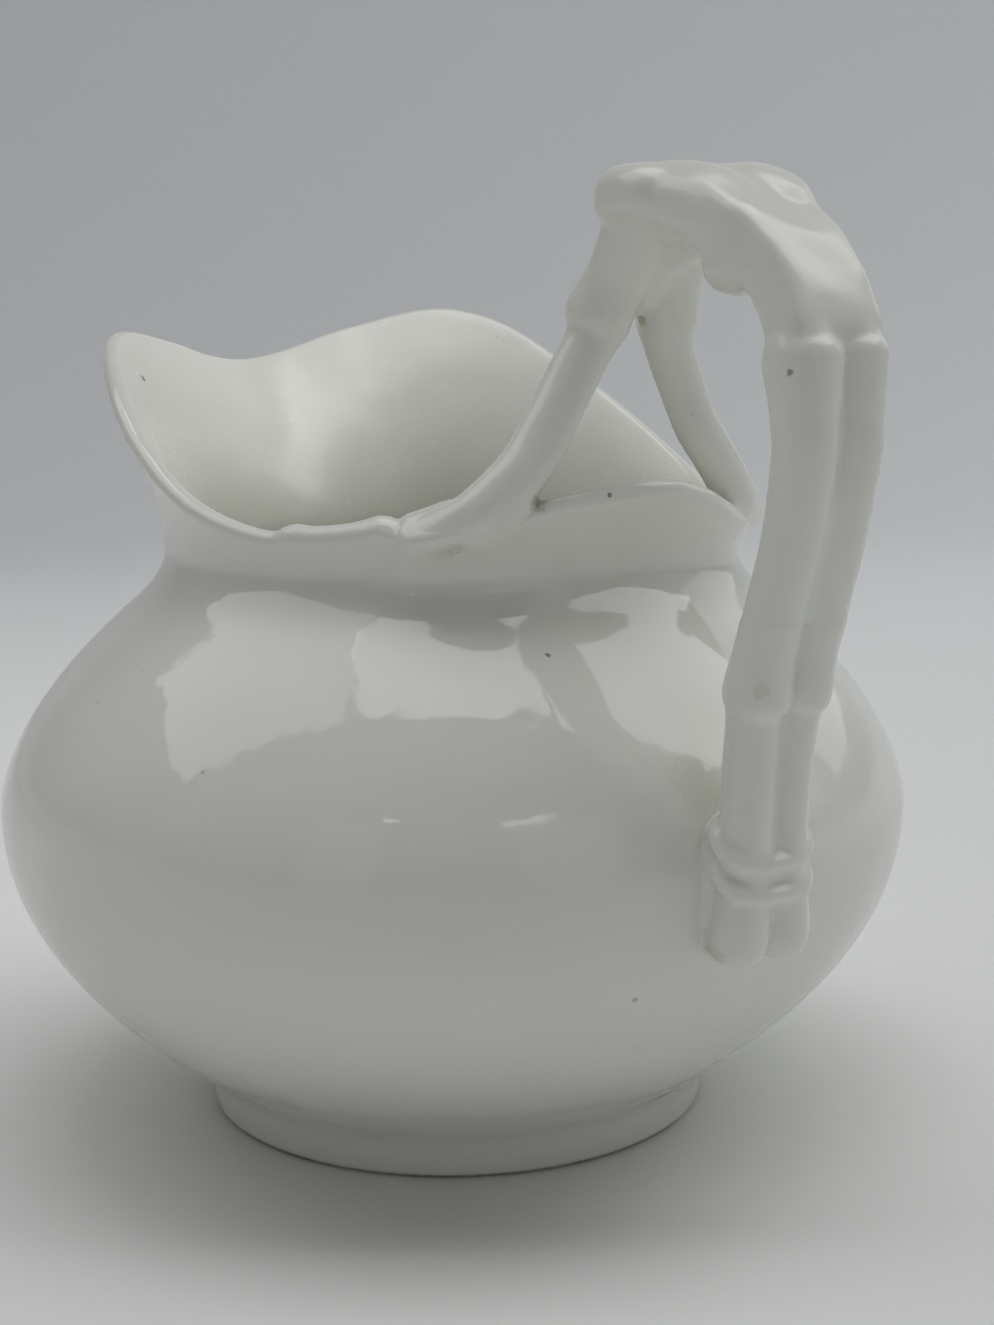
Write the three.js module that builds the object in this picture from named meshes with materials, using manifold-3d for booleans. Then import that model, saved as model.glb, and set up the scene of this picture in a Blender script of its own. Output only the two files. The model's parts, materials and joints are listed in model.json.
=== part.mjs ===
// A small glazed jug for cream: a squat belly on a foot ring, a short neck that opens into a wide pouring
// mouth, and a handle of two canes. The canes grow out of the rim, climb to a knotted crown and run down side
// by side to the belly, where two bands bind them. Millimetres, +Z up, handle towards +X, lip towards -X.
import * as THREE from 'three';
import { mergeVertices } from 'three/addons/utils/BufferGeometryUtils.js';
import Module from 'manifold-3d';

const wasm = await Module();
wasm.setup();

// Foot and belly.
const FOOT_HEIGHT = 5.7;
const FOOT_RADIUS = 33.4;
const FOOT_FLARE = 0.7; // the ring is this much wider where it meets the belly
const FOOT_WIDTH = 4.4;
const FOOT_EDGE = 0.7; // small slope at the ring's lower edges
const BELLY_RADIUS = 60;
const BELLY_DEPTH = 36.3; // from the top of the foot up to the widest level
const BELLY_CURVE = 2.1; // power of the curve below the widest level
const SHOULDER_HEIGHT = 30; // from the widest level up to the neck
const SHOULDER_CURVE = 1.76; // power of the curve above the widest level
const BODY_WALL = 3;
const FLOOR_THICKNESS = 4;

// Neck and pouring mouth.
const NECK_RADIUS = 37.7;
const NECK_CURVE = 2; // power of the flare from the neck to the rim
const RIM_WALL = 2.4;
// One half of the rim, from the lip round to the back: degrees from the lip, how far the crest stands out past
// the neck, how far it rises above the neck, and how much lower the left half has sagged in the firing.
const RIM_STATIONS = [
  { turn: 0, flare: 23, rise: 26.6, sag: 0 },
  { turn: 16, flare: 17.9, rise: 31.4, sag: 1.9 },
  { turn: 30, flare: 13.7, rise: 34.4, sag: 3.3 },
  { turn: 42, flare: 10.5, rise: 32.5, sag: 2.1 },
  { turn: 58, flare: 6.6, rise: 25.5, sag: 0 },
  { turn: 76, flare: 3.7, rise: 17.8, sag: 0 },
  { turn: 95, flare: 2.6, rise: 11.2, sag: 0.2 },
  { turn: 115, flare: 2.1, rise: 7.8, sag: 0 },
  { turn: 138, flare: 2.6, rise: 8.7, sag: 0 },
  { turn: 160, flare: 4.7, rise: 11.4, sag: 0 },
  { turn: 180, flare: 6.6, rise: 13.4, sag: 0 },
];

// Canes of the handle.
const CANE_RADIUS = 3.5; // along the back of the handle
const LOWER_CANE_RADIUS = 2.8;
const FORK_CANE_RADIUS = 3.2;
const KNOT_SWELL = 0.9; // how much a joint of the cane stands out
const CROWN_SWELL = 1.6; // how much the thickest knot of the crown stands out
const PAIR_SPREAD = 2.7; // from the middle plane to the axis of each back cane
const FORK_SPREAD = 5.2; // from the middle plane to the axis of each cane at the fork's knot
const FORK_RISE = 32.3; // fork's knot above the neck
const CROWN_RISE = 44.8; // crown's axis above the neck
const HANDLE_REACH = 11.4; // outermost axis of the back canes past the widest belly
const UPPER_JOINT_RISE = 28.6; // upper joint above the neck
const LOWER_JOINT_RISE = 21.4; // lower joint above the widest level
const LIFT_TURN = 137; // degrees from the lip where the full cane begins on the rim
const TWIG_TURN = 117; // degrees from the lip where the thin twig begins
const TWIG_RADIUS = 1.6;

// Binding and lower end.
const BAND_RADIUS = 1.45;
const BAND_PROUD = 0.8; // how far the bands stand out past the canes
const BAND_RISE = 3.4; // upper band above the widest level
const BAND_PITCH = 3.7; // from the upper band to the lower band
const BAND_SLOPE = 20; // degrees that the bands slope down away from the belly
const STUB_LENGTH = 8.4; // from the lower band to the ends of the canes
const STUB_STANDOFF = 2; // axis of the bound canes past the widest belly
const SEAT_THICKNESS = 1;
const SEAT_MARGIN = 1; // how far the seat shows round the canes

// Seam between neighbouring pieces, and the fineness of the faces.
const SEAM = 0.3;
const ROUND_SIDES = 56;
const RIM_SIDES = 64;
const CANE_SIDES = 12;
const RINGS_PER_SPAN = 2;
const BAND_STEPS = 28;
const BAND_SIDES = 8;
const HALF_SPACE = 400; // edge of the block that stands for one half of space

const GLAZE = { color: 0xe6e5df, roughness: 0.12, metalness: 0 };
const BARE_FOOT = { color: 0xd8d2c4, roughness: 0.6, metalness: 0 };

const BELLY_LEVEL = FOOT_HEIGHT + BELLY_DEPTH;
const NECK_LEVEL = BELLY_LEVEL + SHOULDER_HEIGHT;
const FOOT_TOP_RADIUS = FOOT_RADIUS + FOOT_FLARE;
const radians = THREE.MathUtils.degToRad;
const lerp = THREE.MathUtils.lerp;

// Closed meshes, joins and cuts.
function toSolid(geometry) {
  const bare = geometry.clone();
  bare.deleteAttribute('normal');
  bare.deleteAttribute('uv');
  const merged = mergeVertices(bare, 1e-4);
  const corners = merged.index.array;
  const kept = [];
  for (let i = 0; i < corners.length; i += 3) {
    const [a, b, c] = corners.slice(i, i + 3);
    if (a !== b && b !== c && c !== a) kept.push(a, b, c);
  }
  return new wasm.Manifold(new wasm.Mesh({
    numProp: 3,
    vertProperties: Float32Array.from(merged.attributes.position.array),
    triVerts: Uint32Array.from(kept),
  }));
}

function toGeometry(solid) {
  const mesh = solid.getMesh();
  const geometry = new THREE.BufferGeometry();
  geometry.setAttribute('position', new THREE.BufferAttribute(mesh.vertProperties, 3));
  geometry.setIndex(new THREE.BufferAttribute(mesh.triVerts, 1));
  geometry.computeVertexNormals();
  return geometry;
}

// Rings of points become a closed skin: each ring is joined to the next, and both ends are filled with a fan,
// or the last ring is joined to the first where the skin is a loop.
function skin(rings, isLoop) {
  const sides = rings[0].length;
  const points = rings.flat();
  const corners = [];
  const last = isLoop ? rings.length : rings.length - 1;
  for (let i = 0; i < last; i += 1) {
    const here = i * sides;
    const next = ((i + 1) % rings.length) * sides;
    for (let j = 0; j < sides; j += 1) {
      const k = (j + 1) % sides;
      corners.push(here + j, here + k, next + k, here + j, next + k, next + j);
    }
  }
  if (!isLoop) {
    for (let j = 1; j < sides - 1; j += 1) {
      const end = (rings.length - 1) * sides;
      corners.push(0, j + 1, j, end, end + j, end + j + 1);
    }
  }
  const geometry = new THREE.BufferGeometry().setFromPoints(points);
  geometry.setIndex(corners);
  geometry.computeVertexNormals();
  return geometry;
}

// Belly: radius at a height, from two power curves that meet at the widest level.
function bellyRadius(level) {
  const isLow = level < BELLY_LEVEL;
  const share = Math.abs(level - BELLY_LEVEL) / (isLow ? BELLY_DEPTH : SHOULDER_HEIGHT);
  const end = isLow ? FOOT_TOP_RADIUS : NECK_RADIUS;
  return BELLY_RADIUS - (BELLY_RADIUS - end) * share ** (isLow ? BELLY_CURVE : SHOULDER_CURVE);
}

// Points of the belly's profile from the foot to the neck, moved outwards by a distance.
function bellyProfile(outwards, count) {
  const bottom = FOOT_HEIGHT + SEAM / 2;
  const top = NECK_LEVEL - SEAM / 2;
  const step = 0.01;
  return Array.from({ length: count + 1 }, (_, i) => {
    const level = lerp(bottom, top, i / count);
    const slope = (bellyRadius(level + step) - bellyRadius(level - step)) / (2 * step);
    const length = Math.hypot(1, slope);
    return new THREE.Vector2(bellyRadius(level) + outwards / length, level - (outwards * slope) / length);
  });
}

function bellyGeometry() {
  const floor = FOOT_HEIGHT + FLOOR_THICKNESS;
  const outside = bellyProfile(0, 16);
  const inside = bellyProfile(-BODY_WALL, 12).filter((p) => p.y > floor + BODY_WALL / 2).reverse();
  inside[0].set(NECK_RADIUS - BODY_WALL, outside.at(-1).y);
  return new THREE.LatheGeometry([
    new THREE.Vector2(0, outside[0].y),
    ...outside,
    ...inside,
    new THREE.Vector2(inside.at(-1).x - BODY_WALL, floor),
    new THREE.Vector2(0, floor),
  ], ROUND_SIDES).rotateX(Math.PI / 2);
}

// The belly without its hollow, grown by a distance: it cuts whatever is stuck on the belly.
function bellyBlank(outwards) {
  const outside = bellyProfile(outwards, 16);
  return toSolid(new THREE.LatheGeometry([
    new THREE.Vector2(0, outside[0].y),
    ...outside,
    new THREE.Vector2(0, outside.at(-1).y),
  ], ROUND_SIDES).rotateX(Math.PI / 2));
}

function footGeometry() {
  const top = FOOT_HEIGHT - SEAM / 2;
  const inner = FOOT_RADIUS - FOOT_WIDTH;
  return new THREE.LatheGeometry([
    new THREE.Vector2(inner + FOOT_EDGE, 0),
    new THREE.Vector2(FOOT_RADIUS - FOOT_EDGE / 2, 0),
    new THREE.Vector2(FOOT_RADIUS, FOOT_EDGE),
    new THREE.Vector2(FOOT_TOP_RADIUS, top),
    new THREE.Vector2(inner, top),
    new THREE.Vector2(inner, FOOT_EDGE),
    new THREE.Vector2(inner + FOOT_EDGE, 0),
  ], ROUND_SIDES).rotateX(Math.PI / 2);
}

// Rim: the crest's distance from the axis and its height, at an angle from the lip. The side is -1 for the left
// half and 1 for the right half.
const rimCurve = new THREE.CubicInterpolant(
  RIM_STATIONS.map((s) => s.turn),
  RIM_STATIONS.flatMap((s) => [s.flare, s.rise, s.sag]),
  3,
);
rimCurve.settings = { endingStart: THREE.ZeroSlopeEnding, endingEnd: THREE.ZeroSlopeEnding };

function rimCrest(turn, side) {
  const [flare, rise, sag] = rimCurve.evaluate(turn);
  return { reach: NECK_RADIUS + flare, level: NECK_LEVEL + rise - (side < 0 ? sag : 0) };
}

// A place on the crest, lifted by a height.
function onRim(turn, side, lift) {
  const { reach, level } = rimCrest(turn, side);
  const angle = radians(turn);
  return new THREE.Vector3(-reach * Math.cos(angle), side * reach * Math.sin(angle), level + lift);
}

// Mouth: a wall from the neck up to the crest, with a round edge. Each column of points goes up the inside,
// over the edge and down the outside; grow makes the wall thicker on every side.
function mouthGeometry(grow) {
  const rows = [0, 0.25, 0.48, 0.68, 0.85, 1];
  const edge = [45, 90, 135].map(radians);
  const foot = NECK_RADIUS - BODY_WALL / 2;
  const bottom = NECK_LEVEL + SEAM / 2 - grow;
  const columns = Array.from({ length: RIM_SIDES }, (_, j) => {
    const around = (j / RIM_SIDES) * 2 * Math.PI;
    const turn = 180 * Math.abs(1 - (2 * j) / RIM_SIDES);
    const crest = rimCrest(turn, Math.sin(around));
    const across = crest.reach - foot;
    const height = crest.level - bottom;
    const steep = Math.hypot(NECK_CURVE * across, height);
    const end = new THREE.Vector2((NECK_CURVE * across) / steep, height / steep);
    const place = (share, out, up) => {
      const lean = NECK_CURVE * across * share ** (NECK_CURVE - 1);
      const length = Math.hypot(lean, height);
      const half = lerp(BODY_WALL, RIM_WALL, share) / 2 + grow;
      const tuck = (RIM_WALL / 2) * share;
      const r = foot + across * share ** NECK_CURVE - tuck * end.x;
      const z = bottom + height * share - tuck * end.y;
      const radius = r + half * (out * height + up * lean) / length;
      const level = z + half * (up * height - out * lean) / length;
      return new THREE.Vector3(radius * Math.cos(around), radius * Math.sin(around), Math.max(level, bottom));
    };
    return [
      ...rows.map((share) => place(share, -1, 0)),
      ...edge.map((angle) => place(1, -Math.cos(angle), Math.sin(angle))),
      ...rows.toReversed().map((share) => place(share, 1, 0)),
    ];
  });
  return skin(columns, true);
}

// One cane of the handle, from the rim to its end on the belly: places on its axis with its radius there.
// The numbers at which one section ends and the next begins are kept with the stations.
function caneStations(side) {
  const at = (x, y, z, radius) => ({ place: new THREE.Vector3(x, side * y, z), radius });
  const onBack = (past, above, spread, radius) => at(BELLY_RADIUS + past, spread, NECK_LEVEL + above, radius);
  const onBelly = (past, above, spread, radius) => at(BELLY_RADIUS + past, spread, BELLY_LEVEL + above, radius);
  const knot = FORK_CANE_RADIUS + KNOT_SWELL;
  const joint = CANE_RADIUS + KNOT_SWELL;
  const bandFoot = BAND_RISE - BAND_PITCH / 2;
  const stubEnd = BAND_RISE - BAND_PITCH - STUB_LENGTH;
  const onRimAt = (turn, lift, radius) => ({ place: onRim(turn, side, lift), radius });
  const fork = [
    onRimAt(LIFT_TURN, 0, FORK_CANE_RADIUS * 0.75),
    onRimAt(LIFT_TURN + 7, 0.3, FORK_CANE_RADIUS * 0.95),
    at(NECK_RADIUS - 2.6, 19.4, NECK_LEVEL + 11.6, FORK_CANE_RADIUS),
    at(NECK_RADIUS - 0.8, 15.4, NECK_LEVEL + 15.2, FORK_CANE_RADIUS),
    at(NECK_RADIUS, 11.6, NECK_LEVEL + 19.8, FORK_CANE_RADIUS),
    at(NECK_RADIUS + 0.3, 8.2, NECK_LEVEL + 25.4, FORK_CANE_RADIUS),
    at(NECK_RADIUS + 0.9, FORK_SPREAD + 0.7, NECK_LEVEL + FORK_RISE - 2.9, FORK_CANE_RADIUS),
    at(NECK_RADIUS + 1.3, FORK_SPREAD, NECK_LEVEL + FORK_RISE, knot),
  ];
  const crown = [
    at(NECK_RADIUS + 1.9, FORK_SPREAD - 0.3, NECK_LEVEL + FORK_RISE + 2, FORK_CANE_RADIUS),
    at(NECK_RADIUS + 4, FORK_SPREAD - 0.8, NECK_LEVEL + CROWN_RISE - 7.2, FORK_CANE_RADIUS + 0.2),
    at(NECK_RADIUS + 6.8, PAIR_SPREAD + 1.3, NECK_LEVEL + CROWN_RISE - 3.8, FORK_CANE_RADIUS + 0.5),
    at(NECK_RADIUS + 9, PAIR_SPREAD + 0.7, NECK_LEVEL + CROWN_RISE - 0.7, CANE_RADIUS + 0.8),
    onBack(-8.6, CROWN_RISE, PAIR_SPREAD + 0.2, CANE_RADIUS + 0.7),
    onBack(-3, CROWN_RISE - 1.7, PAIR_SPREAD, CANE_RADIUS + 1.1),
    onBack(1.4, CROWN_RISE - 4.8, PAIR_SPREAD, CANE_RADIUS + CROWN_SWELL),
    onBack(HANDLE_REACH - 6, CROWN_RISE - 8.2, PAIR_SPREAD, CANE_RADIUS + 0.9),
    onBack(HANDLE_REACH - 3.1, UPPER_JOINT_RISE + 4, PAIR_SPREAD, CANE_RADIUS + 0.4),
    onBack(HANDLE_REACH - 1.7, UPPER_JOINT_RISE + 1.5, PAIR_SPREAD, CANE_RADIUS + 0.2),
  ];
  const back = [
    onBack(HANDLE_REACH - 1.1, UPPER_JOINT_RISE, PAIR_SPREAD, joint),
    onBack(HANDLE_REACH - 0.2, UPPER_JOINT_RISE - 3.6, PAIR_SPREAD, CANE_RADIUS + 0.1),
    onBack(HANDLE_REACH, 18.3, PAIR_SPREAD, CANE_RADIUS),
    onBack(HANDLE_REACH - 1.6, 10, PAIR_SPREAD, CANE_RADIUS),
    onBelly(HANDLE_REACH - 4, SHOULDER_HEIGHT + 2.5, PAIR_SPREAD, CANE_RADIUS),
    onBelly(HANDLE_REACH - 6.2, LOWER_JOINT_RISE + 4.4, PAIR_SPREAD, CANE_RADIUS - 0.2),
    onBelly(HANDLE_REACH - 7.3, LOWER_JOINT_RISE + 0.4, PAIR_SPREAD, CANE_RADIUS + 0.2),
  ];
  const lower = [
    onBelly(HANDLE_REACH - 7.8, LOWER_JOINT_RISE - 1.8, PAIR_SPREAD, LOWER_CANE_RADIUS + 0.3),
    onBelly(STUB_STANDOFF + 0.8, LOWER_JOINT_RISE - 7, PAIR_SPREAD - 0.2, LOWER_CANE_RADIUS),
    onBelly(STUB_STANDOFF + 0.3, BAND_RISE + 5, PAIR_SPREAD - 0.3, LOWER_CANE_RADIUS),
    onBelly(STUB_STANDOFF, bandFoot, PAIR_SPREAD - 0.3, LOWER_CANE_RADIUS),
  ];
  const stub = [
    onBelly(STUB_STANDOFF - 0.1, BAND_RISE - BAND_PITCH - 2, PAIR_SPREAD - 0.2, LOWER_CANE_RADIUS),
    onBelly(STUB_STANDOFF - 0.4, stubEnd + 2.2, PAIR_SPREAD, LOWER_CANE_RADIUS + 0.2),
    onBelly(STUB_STANDOFF - 0.9, stubEnd + 0.5, PAIR_SPREAD, LOWER_CANE_RADIUS * 0.72),
    onBelly(STUB_STANDOFF - 1.1, stubEnd, PAIR_SPREAD, LOWER_CANE_RADIUS * 0.35),
  ];
  const sections = { fork, crown, back, lower, stub };
  const ends = {};
  let count = 0;
  Object.entries(sections).forEach(([name, list]) => {
    ends[name] = [Math.max(count - 1, 0), count + list.length - 1];
    count += list.length;
  });
  return { stations: Object.values(sections).flat(), ends };
}

// Twig on the rim ahead of the cane: two joints with a thinner stretch between them.
function twigStations(side) {
  const lift = TWIG_RADIUS * 0.6;
  const span = LIFT_TURN - TWIG_TURN;
  const shape = [[0, 0.5], [0.12, 1.15], [0.3, 0.9], [0.6, 0.9], [0.85, 1.2], [0.96, 0.95]];
  return shape.map(([share, swell]) => ({
    place: onRim(TWIG_TURN + span * share, side, lift),
    radius: TWIG_RADIUS * swell,
  }));
}

// Round tube along stations first to last; half a seam is left free at each end, and grow fattens it.
function tube(stations, first, last, grow) {
  const curve = new THREE.CatmullRomCurve3(stations.map((s) => s.place), false, 'centripetal');
  const top = stations.length - 1;
  const steps = (last - first) * RINGS_PER_SPAN;
  const spanLength = (i) => stations[i].place.distanceTo(stations[i + 1].place);
  const trim = SEAM / 2 - grow;
  const rings = Array.from({ length: steps + 1 }, (_, i) => {
    let index = first + i / RINGS_PER_SPAN;
    if (i === 0 && first > 0) index += trim / spanLength(first);
    if (i === steps && last < top) index -= trim / spanLength(last - 1);
    const low = Math.min(Math.floor(index), top - 1);
    const radius = lerp(stations[low].radius, stations[low + 1].radius, index - low) + grow;
    const centre = curve.getPoint(index / top);
    const along = curve.getTangent(index / top);
    const across = new THREE.Vector3(0, 1, 0).cross(along).normalize();
    const aside = new THREE.Vector3().crossVectors(along, across);
    return Array.from({ length: CANE_SIDES }, (_, j) => {
      const angle = (j / CANE_SIDES) * 2 * Math.PI;
      return centre.clone()
        .addScaledVector(across, radius * Math.cos(angle))
        .addScaledVector(aside, radius * Math.sin(angle));
    });
  });
  return toSolid(skin(rings, false));
}

// The half of space on one side of the middle plane, half a seam away from it.
function halfSpace(side) {
  const block = new THREE.BoxGeometry(HALF_SPACE, HALF_SPACE, HALF_SPACE);
  return toSolid(block.translate(0, (side * (HALF_SPACE + SEAM)) / 2, 0));
}

// Band round both canes: a round cord along a ring with straight sides, sloping down away from the belly. It
// leaves free the hollow between the canes and the belly.
function bandSolid(level) {
  const ring = LOWER_CANE_RADIUS + BAND_PROUD - BAND_RADIUS;
  const centre = new THREE.Vector3(BELLY_RADIUS + STUB_STANDOFF, 0, level);
  const slope = new THREE.Quaternion().setFromAxisAngle(new THREE.Vector3(0, 1, 0), radians(BAND_SLOPE));
  const rings = Array.from({ length: BAND_STEPS }, (_, i) => {
    const angle = (i / BAND_STEPS) * 2 * Math.PI;
    const out = new THREE.Vector3(Math.cos(angle), Math.sin(angle), 0);
    const shift = PAIR_SPREAD * Math.tanh(3 * Math.sin(angle));
    const path = out.clone().multiplyScalar(ring).add(new THREE.Vector3(0, shift, 0));
    return Array.from({ length: BAND_SIDES }, (_, j) => {
      const turn = (j / BAND_SIDES) * 2 * Math.PI;
      const point = path.clone().addScaledVector(out, BAND_RADIUS * Math.cos(turn));
      point.z = -BAND_RADIUS * Math.sin(turn);
      return point.applyQuaternion(slope).add(centre);
    });
  });
  const hollow = new THREE.BoxGeometry(BELLY_RADIUS, 2 * PAIR_SPREAD, HALF_SPACE);
  hollow.translate(centre.x - BELLY_RADIUS / 2, 0, 0);
  return toSolid(skin(rings, true)).subtract(toSolid(hollow));
}

// Seat: a thin oval patch on the belly under the bands and the stubs.
function seatSolid() {
  const high = BELLY_LEVEL + BAND_RISE + BAND_RADIUS + SEAT_MARGIN;
  const low = BELLY_LEVEL + BAND_RISE - BAND_PITCH - STUB_LENGTH - SEAT_MARGIN;
  const half = PAIR_SPREAD + LOWER_CANE_RADIUS + SEAT_MARGIN;
  const oval = new THREE.Shape().absellipse(0, 0, half, (high - low) / 2, 0, 2 * Math.PI);
  const patch = new THREE.ExtrudeGeometry(oval, { depth: BELLY_RADIUS, bevelEnabled: false, curveSegments: 12 });
  patch.rotateX(Math.PI / 2).rotateZ(Math.PI / 2).translate(BELLY_RADIUS / 2, 0, (high + low) / 2);
  return toSolid(patch).intersect(bellyBlank(SEAT_THICKNESS)).subtract(bellyBlank(SEAM));
}

// Assembly.
const creamer = new THREE.Group();
creamer.name = 'creamer';

function add(name, geometry, finish) {
  const mesh = new THREE.Mesh(geometry, new THREE.MeshStandardMaterial(finish));
  mesh.name = name;
  creamer.add(mesh);
}

add('foot_ring', footGeometry(), BARE_FOOT);
add('belly', bellyGeometry(), GLAZE);
add('mouth', mouthGeometry(0), GLAZE);
add('handle_seat', toGeometry(seatSolid()), GLAZE);

const mouthCut = toSolid(mouthGeometry(SEAM));
const seatCut = bellyBlank(SEAT_THICKNESS + SEAM);
let upperBand = bandSolid(BELLY_LEVEL + BAND_RISE).subtract(seatCut);
let lowerBand = bandSolid(BELLY_LEVEL + BAND_RISE - BAND_PITCH).subtract(seatCut);

[{ side: -1, hand: 'left' }, { side: 1, hand: 'right' }].forEach(({ side, hand }) => {
  const { stations, ends } = caneStations(side);
  const half = halfSpace(side);
  const section = (name) => tube(stations, ...ends[name], 0).intersect(half);
  const grown = tube(stations, ends.lower[0], ends.stub[1], SEAM);
  const twig = twigStations(side);
  upperBand = upperBand.subtract(grown);
  lowerBand = lowerBand.subtract(grown);
  add(`rim_twig_${hand}`, toGeometry(tube(twig, 0, twig.length - 1, 0).subtract(mouthCut)), GLAZE);
  add(`fork_cane_${hand}`, toGeometry(section('fork').subtract(mouthCut)), GLAZE);
  add(`crown_cane_${hand}`, toGeometry(section('crown')), GLAZE);
  add(`back_cane_${hand}`, toGeometry(section('back')), GLAZE);
  add(`lower_cane_${hand}`, toGeometry(section('lower').subtract(seatCut)), GLAZE);
  add(`cane_stub_${hand}`, toGeometry(section('stub').subtract(seatCut)), GLAZE);
});
add('upper_band', toGeometry(upperBand), GLAZE);
add('lower_band', toGeometry(lowerBand), GLAZE);

// The origin is on the table under the middle of the whole outline.
const outline = new THREE.Box3().setFromObject(creamer);
creamer.position.x = -(outline.min.x + outline.max.x) / 2;

export default creamer;
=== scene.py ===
# %% [markdown]
# A cream jug in white glaze
#
# This lesson dresses a small jug: a squat belly on a foot ring, a wide pouring mouth, and a handle of two
# canes that grow out of the rim and are bound to the belly. The construction is loaded as a fixed frame,
# in metres. What is made here is the fired and glazed surface, which on the real jug has no seams.

# %% Load the frame
import json
import bpy
import numpy as np
from mathutils import Matrix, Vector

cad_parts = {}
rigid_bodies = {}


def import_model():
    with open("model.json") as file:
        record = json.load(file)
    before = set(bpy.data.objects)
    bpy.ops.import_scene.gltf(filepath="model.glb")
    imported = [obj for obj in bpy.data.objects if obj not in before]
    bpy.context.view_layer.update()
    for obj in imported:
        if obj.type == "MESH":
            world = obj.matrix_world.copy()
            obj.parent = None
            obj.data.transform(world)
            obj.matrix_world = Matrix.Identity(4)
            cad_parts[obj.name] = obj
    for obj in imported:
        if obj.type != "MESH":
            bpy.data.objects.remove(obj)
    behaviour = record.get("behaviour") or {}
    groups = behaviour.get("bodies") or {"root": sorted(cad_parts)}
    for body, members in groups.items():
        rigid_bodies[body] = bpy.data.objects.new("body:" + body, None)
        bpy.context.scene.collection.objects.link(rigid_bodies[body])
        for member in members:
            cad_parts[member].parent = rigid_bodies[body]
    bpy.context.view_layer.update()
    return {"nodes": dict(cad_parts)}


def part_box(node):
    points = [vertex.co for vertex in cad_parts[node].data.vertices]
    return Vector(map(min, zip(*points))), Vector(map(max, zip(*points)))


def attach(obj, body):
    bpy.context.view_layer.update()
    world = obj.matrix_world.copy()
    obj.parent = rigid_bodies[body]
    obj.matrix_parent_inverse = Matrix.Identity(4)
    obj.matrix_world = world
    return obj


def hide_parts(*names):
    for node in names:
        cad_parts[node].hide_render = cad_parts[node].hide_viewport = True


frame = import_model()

# %% [markdown]
# Sizes come from the frame first. The levels of the foot and the neck and the width of the belly are read
# from the boxes of their nodes, so the new skins sit where the solids sit. Only what a box can't tell is
# written down. All shapes are worked out in millimetres and become metres when they are put into a mesh.

# %% Levels and radii
MM = 0.001
SEAM = 0.3  # the gap between neighbouring solids
BELLY_RISE = 36.3  # from the top of the foot to the widest level
NECK_RADIUS = 37.7
FOOT_TAPER = 0.7
FOOT_WIDTH = 4.4
BODY_WALL = 3.0
RIM_WALL = 2.4
FLOOR_THICKNESS = 4.0


def node_box(name):
    """Lowest and highest corner of a node, in millimetres."""
    low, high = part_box(name)
    return np.array(low) / MM, np.array(high) / MM


belly_low, belly_high = node_box("belly")
foot_low, foot_high = node_box("foot_ring")
mouth_low, _ = node_box("mouth")
AXIS_X = (belly_low[0] + belly_high[0]) / 2
BELLY_RADIUS = (belly_high[1] - belly_low[1]) / 2
FOOT_TOP = foot_high[2] + SEAM / 2
FOOT_TOP_RADIUS = (foot_high[1] - foot_low[1]) / 2
FOOT_RADIUS = FOOT_TOP_RADIUS - FOOT_TAPER
NECK_LEVEL = mouth_low[2] - SEAM / 2
BELLY_LEVEL = FOOT_TOP + BELLY_RISE
FLOOR_LEVEL = FOOT_TOP + FLOOR_THICKNESS
print("axis at x = %.2f, belly %.1f, neck at %.1f mm" % (AXIS_X, BELLY_RADIUS, NECK_LEVEL))

# %% [markdown]
# Every skin here is a stack of rings: a grid of points with rows and columns, whose columns close on
# themselves. A fan closes each end, or the last ring is joined to the first, as on a hoop. Writing the
# faces as arrays of corner numbers means that no loop ever walks over the points.


# %% Rings of points become a mesh
def ring_skin(rings, ends=None):
    """Points and faces of a closed skin.

    Ring i is joined to ring i + 1 by quads. Two end points close the first and the last ring with fans;
    without them the last ring is joined to the first. The volume, the sum of a . (b x c) / 6 over the
    triangles, tells whether the faces point inwards, and then they are turned round.
    """
    rows, columns = rings.shape[:2]
    points = rings.reshape(-1, 3)
    i, j = np.meshgrid(np.arange(rows if ends is None else rows - 1), np.arange(columns), indexing="ij")
    here, there, k = i * columns, ((i + 1) % rows) * columns, (j + 1) % columns
    quads = np.stack([here + j, here + k, there + k, there + j], axis=-1).reshape(-1, 4)
    fans = np.zeros((0, 3), int)
    if ends is not None:
        points = np.vstack([points, ends])
        around = np.arange(columns)
        beside = (around + 1) % columns
        last = (rows - 1) * columns
        first_fan = np.stack([beside, around, np.full(columns, rows * columns)], axis=-1)
        last_fan = np.stack([last + around, last + beside, np.full(columns, rows * columns + 1)], axis=-1)
        fans = np.vstack([first_fan, last_fan])
    triangles = np.vstack([quads[:, [0, 1, 2]], quads[:, [0, 2, 3]], fans])
    a, b, c = (points[triangles[:, n]] - points.mean(axis=0) for n in range(3))
    if np.einsum("ij,ij->", a, np.cross(b, c)) < 0:
        quads, fans = quads[:, ::-1], fans[:, ::-1]
    return points, quads.tolist() + fans.tolist()


def mesh_piece(name, skin):
    """A smooth-shaded object from a skin in millimetres, at the origin."""
    points, faces = skin
    mesh = bpy.data.meshes.new(name)
    mesh.from_pydata((points * MM).tolist(), [], faces)
    mesh.shade_smooth()
    piece = bpy.data.objects.new(name, mesh)
    bpy.context.scene.collection.objects.link(piece)
    return piece


# %% [markdown]
# The belly, the foot and the hollow are round, as on a wheel, so each is a radius at a height. Simple
# powers draw them, and a fillet rounds the line where two of them meet, as a wet sponge does on the clay.

# %% Belly, foot and hollow
BELLY_POWER = 2.1
SHOULDER_POWER = 1.76
FOOT_FILLET = 2.2
NECK_FILLET = 4.5
HOLLOW_FILLET = 7.0


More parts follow.
